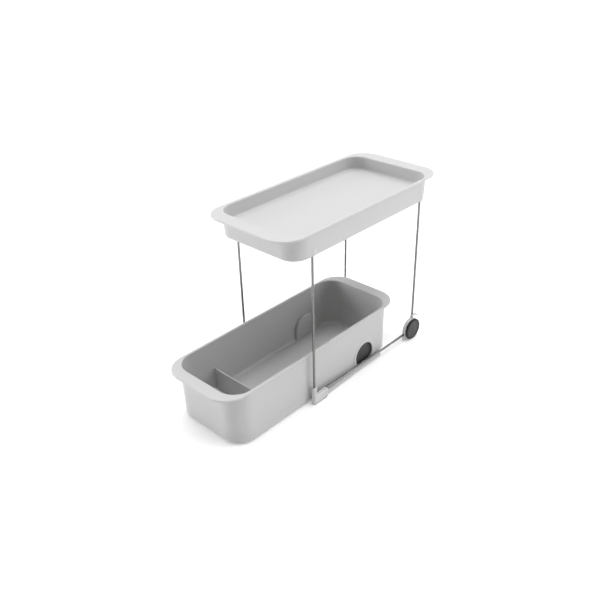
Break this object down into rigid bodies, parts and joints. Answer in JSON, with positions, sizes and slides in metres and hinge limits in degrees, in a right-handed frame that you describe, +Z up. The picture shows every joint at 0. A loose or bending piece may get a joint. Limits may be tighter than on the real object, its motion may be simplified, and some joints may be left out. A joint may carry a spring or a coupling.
{
  "type": "housekeeping cart",
  "caption": "Low two-tier pull-out caddy on wheels: a shallow tray on steel posts over a deep drawer with a divider, for cleaning supplies.",
  "frame": {"origin": "middle of the overall box on the floor, with the drawer pulled out", "axes": "+Z up; the drawer pulls out towards -Y; +X is the right-hand side seen from the front"},
  "size_m": [0.199, 0.5644, 0.35],
  "materials": {
    "light_plastic": "fine satin texture, light warm grey",
    "fittings": "smooth matt, light grey",
    "satin_steel": "satin drawn wire",
    "wheel_plastic": "fine matt, dark grey",
    "tyre": "soft matt rubber",
    "axle_steel": "plain zinc plated",
    "pad": "soft grey rubber"
  },
  "bodies": {
    "frame": {"bottom_rail_left": "satin_steel", "bottom_rail_right": "satin_steel", "foot_pad_left": "pad", "foot_pad_right": "pad", "front_foot_left": "fittings", "front_foot_right": "fittings", "front_post_left": "satin_steel", "front_post_right": "satin_steel", "rear_axle_left": "axle_steel", "rear_axle_right": "axle_steel", "rear_post_left": "satin_steel", "rear_post_right": "satin_steel", "rear_wheel_housing_left": "fittings", "rear_wheel_housing_right": "fittings", "top_tray": "light_plastic"},
    "drawer": {"drawer_axle_left": "axle_steel", "drawer_axle_right": "axle_steel", "drawer_bin": "light_plastic", "drawer_glide_left": "pad", "drawer_glide_right": "pad", "drawer_runner_left": "light_plastic", "drawer_runner_right": "light_plastic"},
    "divider": {"drawer_divider": "light_plastic"},
    "rear_wheel_left": {"rear_wheel_disc_left": "wheel_plastic", "rear_tyre_left": "tyre"},
    "rear_wheel_right": {"rear_wheel_disc_right": "wheel_plastic", "rear_tyre_right": "tyre"},
    "drawer_wheel_left": {"drawer_wheel_disc_left": "wheel_plastic", "drawer_tyre_left": "tyre"},
    "drawer_wheel_right": {"drawer_wheel_disc_right": "wheel_plastic", "drawer_tyre_right": "tyre"}
  },
  "joints": [
    {"name": "drawer_slide", "type": "slide", "parent": "frame", "child": "drawer", "axis": [0, 1, 0], "range_m": [0, 0.115]},
    {"name": "divider_lift", "type": "slide", "parent": "drawer", "child": "divider", "axis": [0, 0, 1], "range_m": [0, 0.11]},
    {"name": "rear_wheel_left_spin", "type": "hinge", "parent": "frame", "child": "rear_wheel_left", "pos_m": [-0.0964, 0.22025, 0.0224], "axis": [1, 0, 0], "continuous": true},
    {"name": "drawer_wheel_left_spin", "type": "hinge", "parent": "drawer", "child": "drawer_wheel_left", "pos_m": [-0.0763, 0.07675, 0.0266], "axis": [1, 0, 0], "continuous": true},
    {"name": "rear_wheel_right_spin", "type": "hinge", "parent": "frame", "child": "rear_wheel_right", "pos_m": [0.0964, 0.22025, 0.0224], "axis": [1, 0, 0], "continuous": true},
    {"name": "drawer_wheel_right_spin", "type": "hinge", "parent": "drawer", "child": "drawer_wheel_right", "pos_m": [0.0763, 0.07675, 0.0266], "axis": [1, 0, 0], "continuous": true}
  ]
}
